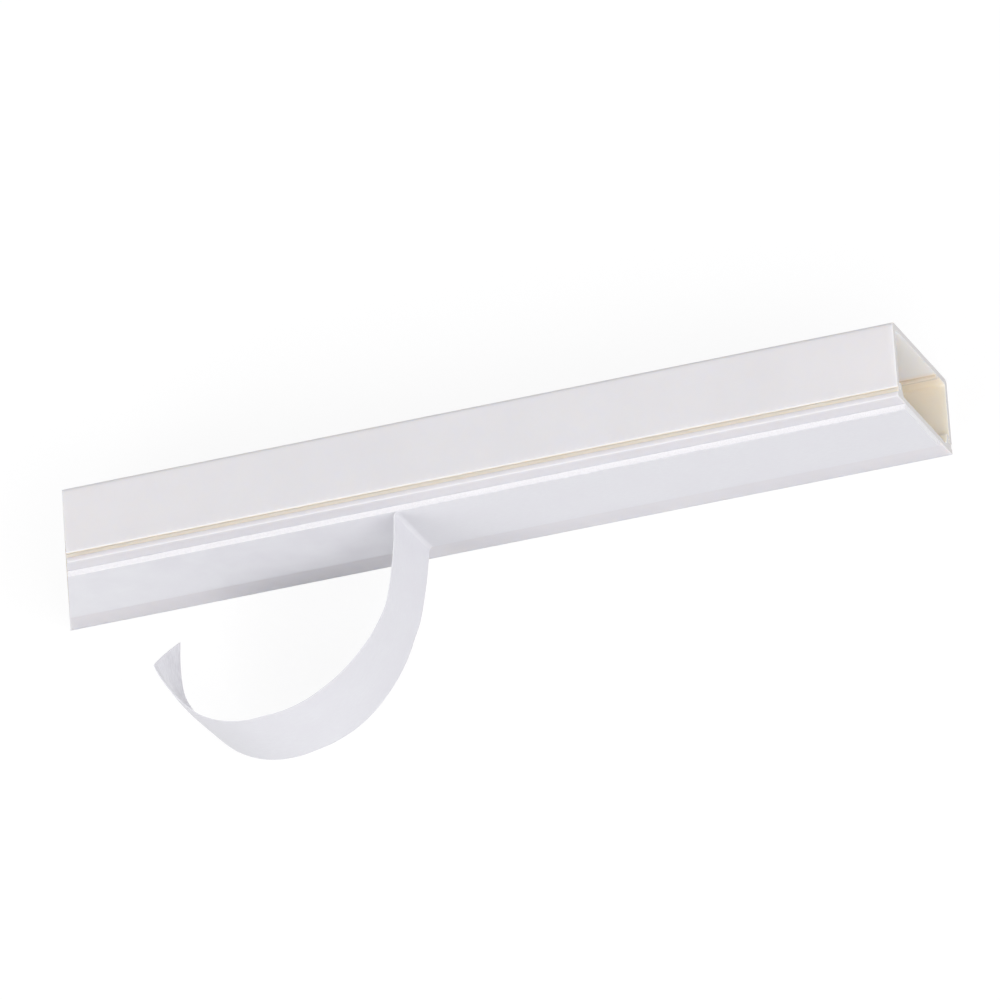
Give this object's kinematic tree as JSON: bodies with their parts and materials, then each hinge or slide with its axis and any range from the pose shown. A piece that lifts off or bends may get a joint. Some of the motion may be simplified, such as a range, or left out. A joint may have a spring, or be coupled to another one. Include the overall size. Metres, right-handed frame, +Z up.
{
  "type": "cord cover raceway",
  "caption": "Short length of stick-on cord cover raceway: flat base, clip-on cover, foam tape on its back and a release liner half peeled off.",
  "frame": {"origin": "in the narrow side that the duct lies on, at mid length and mid height of its section", "axes": "+X along the duct to its unpeeled end, +Y from the tape side to the cover's top, +Z up across the duct's width"},
  "size_m": [0.2084, 0.063, 0.038],
  "materials": {
    "cover_pvc": "extruded, satin",
    "base_pvc": "extruded, satin",
    "foam": "fine closed-cell foam with a tacky face",
    "liner_paper": "smooth coated release paper"
  },
  "bodies": {
    "root": {"cover": "cover_pvc", "base": "base_pvc", "foam_tape": "foam", "release_liner": "liner_paper"}
  },
  "joints": []
}
